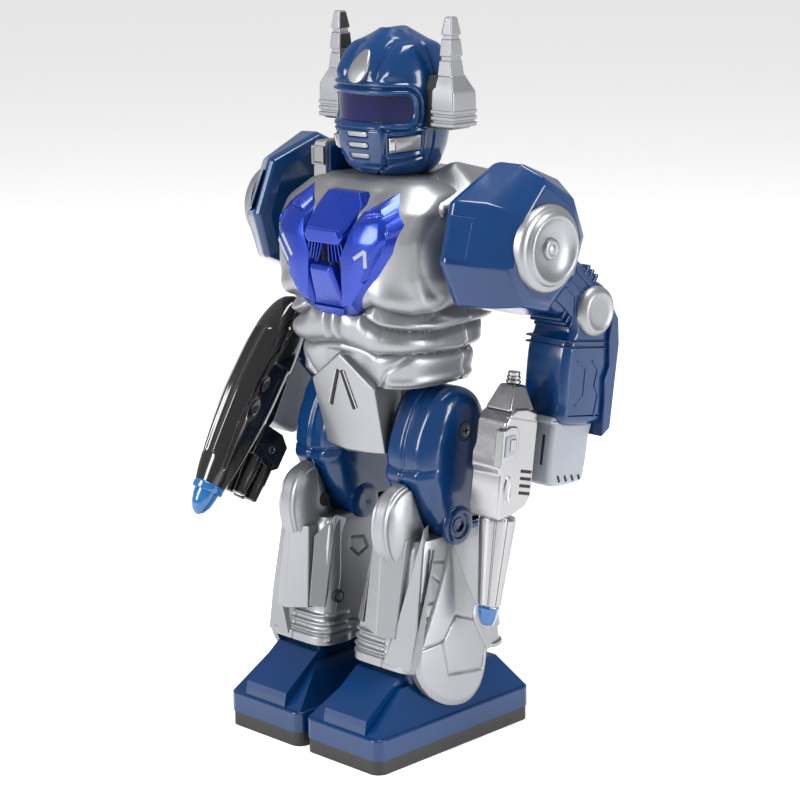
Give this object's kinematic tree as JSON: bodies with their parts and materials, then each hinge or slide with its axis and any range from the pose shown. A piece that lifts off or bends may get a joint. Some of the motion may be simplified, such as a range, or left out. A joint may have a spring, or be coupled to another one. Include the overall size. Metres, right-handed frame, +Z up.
{
  "type": "toy robot",
  "caption": "Battery walking toy robot with turning head, swinging arms that hold a gun and a blaster, and stepping legs on flat feet.",
  "frame": {"origin": "on the floor midway between the feet, at the middle of the feet's length", "axes": "+Z up, +X to the robot's left, -Y the way it faces"},
  "size_m": [0.177, 0.1325, 0.32],
  "materials": {
    "silver_plastic": "silver sprayed plastic, soft sheen",
    "blue_plastic": "glossy deep blue moulded plastic",
    "metallic_blue": "metallic cobalt blue paint",
    "black_gloss": "glossy black plastic",
    "black_matte": "matte charcoal plastic",
    "grey_plastic": "light grey moulded plastic",
    "chrome_plastic": "vacuum-plated silver plastic",
    "clear_blue": "translucent azure plastic",
    "visor_blue": "dark translucent blue plastic",
    "steel": "zinc-plated steel",
    "battery_wrap": "printed shrink sleeve, no lettering",
    "board_green": "solder-masked board",
    "nylon": "natural nylon"
  },
  "bodies": {
    "torso": {"torso_front_shell": "silver_plastic", "torso_back_shell": "silver_plastic", "chest_plate": "metallic_blue", "battery_holder": "black_matte", "batteries": "battery_wrap", "battery_contacts": "steel", "speaker": "black_matte", "circuit_board": "board_green", "motor": "steel", "gearbox_frame": "nylon", "torso_screws": "steel"},
    "battery_door": {"battery_door": "silver_plastic", "battery_door_screw": "steel"},
    "power_switch": {"power_switch_knob": "black_matte"},
    "crank": {"crank_shaft": "nylon"},
    "reduction": {"reduction_gear": "nylon"},
    "pinion": {"motor_pinion": "nylon"},
    "head": {"head_front_shell": "blue_plastic", "head_back_shell": "blue_plastic", "visor": "visor_blue", "neck_post": "black_matte", "left_ear_antenna": "silver_plastic", "right_ear_antenna": "silver_plastic"},
    "left_upper_arm": {"left_shoulder_pad": "blue_plastic", "left_shoulder_cap": "silver_plastic", "left_upper_arm": "blue_plastic"},
    "left_forearm": {"left_elbow_pin": "silver_plastic", "left_forearm": "blue_plastic", "left_hand": "grey_plastic", "left_gun_body": "chrome_plastic", "left_gun_barrel": "chrome_plastic", "left_gun_tip": "clear_blue"},
    "left_thigh": {"left_thigh_outer_shell": "blue_plastic", "left_thigh_inner_shell": "blue_plastic", "left_hip_shaft": "steel", "left_knee_pin": "steel"},
    "left_shin": {"left_shin_outer_shell": "silver_plastic", "left_shin_inner_shell": "silver_plastic", "left_foot_upper": "blue_plastic", "left_foot_sole": "black_matte"},
    "left_roller": {"left_foot_roller": "black_matte"},
    "right_upper_arm": {"right_shoulder_pad": "blue_plastic", "right_shoulder_cap": "silver_plastic", "right_upper_arm": "blue_plastic"},
    "right_forearm": {"right_elbow_pin": "silver_plastic", "right_forearm": "blue_plastic", "right_hand": "grey_plastic", "right_blaster_shell": "black_gloss", "right_blaster_barrels": "black_gloss", "right_blaster_tip": "clear_blue"},
    "right_thigh": {"right_thigh_outer_shell": "blue_plastic", "right_thigh_inner_shell": "blue_plastic", "right_hip_shaft": "steel", "right_knee_pin": "steel"},
    "right_shin": {"right_shin_outer_shell": "silver_plastic", "right_shin_inner_shell": "silver_plastic", "right_foot_upper": "blue_plastic", "right_foot_sole": "black_matte"},
    "right_roller": {"right_foot_roller": "black_matte"}
  },
  "joints": [
    {"name": "neck_turn", "type": "hinge", "parent": "torso", "child": "head", "pos_m": [0, 0.0165, 0.2515], "axis": [0, 0, 1], "range_deg": [-60, 60]},
    {"name": "left_shoulder_swing", "type": "hinge", "parent": "torso", "child": "left_upper_arm", "pos_m": [0.0535, 0.0175, 0.229], "axis": [1, 0, 0], "range_deg": [-170, 40]},
    {"name": "left_elbow_bend", "type": "hinge", "parent": "left_upper_arm", "child": "left_forearm", "pos_m": [0.068, 0.05543, 0.19461], "axis": [1, 0, 0], "range_deg": [-28, 46]},
    {"name": "right_shoulder_swing", "type": "hinge", "parent": "torso", "child": "right_upper_arm", "pos_m": [-0.0535, 0.0175, 0.229], "axis": [1, 0, 0], "range_deg": [-170, 40]},
    {"name": "right_elbow_bend", "type": "hinge", "parent": "right_upper_arm", "child": "right_forearm", "pos_m": [-0.068, 0.04867, 0.18838], "axis": [1, 0, 0], "range_deg": [-5, 69]},
    {"name": "left_hip_swing", "type": "hinge", "parent": "torso", "child": "left_thigh", "pos_m": [0.0142, 0.0115, 0.143], "axis": [1, 0, 0], "range_deg": [-5, 5]},
    {"name": "right_hip_swing", "type": "hinge", "parent": "torso", "child": "right_thigh", "pos_m": [-0.0142, 0.0115, 0.143], "axis": [1, 0, 0], "range_deg": [-5, 5]},
    {"name": "left_knee_bend", "type": "hinge", "parent": "left_thigh", "child": "left_shin", "pos_m": [0.0282, 0.0062, 0.101], "axis": [1, 0, 0], "range_deg": [-5, 5]},
    {"name": "right_knee_bend", "type": "hinge", "parent": "right_thigh", "child": "right_shin", "pos_m": [-0.0282, 0.0062, 0.101], "axis": [1, 0, 0], "range_deg": [-5, 5]},
    {"name": "left_roller_spin", "type": "hinge", "parent": "left_shin", "child": "left_roller", "pos_m": [0.0251, -0.02, 0.0045], "axis": [1, 0, 0], "continuous": true},
    {"name": "right_roller_spin", "type": "hinge", "parent": "right_shin", "child": "right_roller", "pos_m": [-0.0251, -0.02, 0.0045], "axis": [1, 0, 0], "continuous": true},
    {"name": "crank_spin", "type": "hinge", "parent": "torso", "child": "crank", "pos_m": [0, 0.0115, 0.172], "axis": [1, 0, 0], "continuous": true},
    {"name": "reduction_spin", "type": "hinge", "parent": "torso", "child": "reduction", "pos_m": [0, 0.01706, 0.18912], "axis": [1, 0, 0], "continuous": true},
    {"name": "pinion_spin", "type": "hinge", "parent": "torso", "child": "pinion", "pos_m": [0.002, 0.01091, 0.20603], "axis": [1, 0, 0], "continuous": true},
    {"name": "battery_door_slide", "type": "slide", "parent": "torso", "child": "battery_door", "axis": [0, 1, 0], "range_m": [0, 0.02]},
    {"name": "power_switch_slide", "type": "slide", "parent": "torso", "child": "power_switch", "axis": [1, 0, 0], "range_m": [0, 0.002]}
  ],
  "couplings": [
    {"joint": "right_hip_swing", "follows": "left_hip_swing", "ratio": -1},
    {"joint": "left_knee_bend", "follows": "left_hip_swing", "ratio": -1},
    {"joint": "right_knee_bend", "follows": "left_hip_swing", "ratio": 1},
    {"joint": "reduction_spin", "follows": "crank_spin", "ratio": -3},
    {"joint": "pinion_spin", "follows": "crank_spin", "ratio": 9}
  ]
}
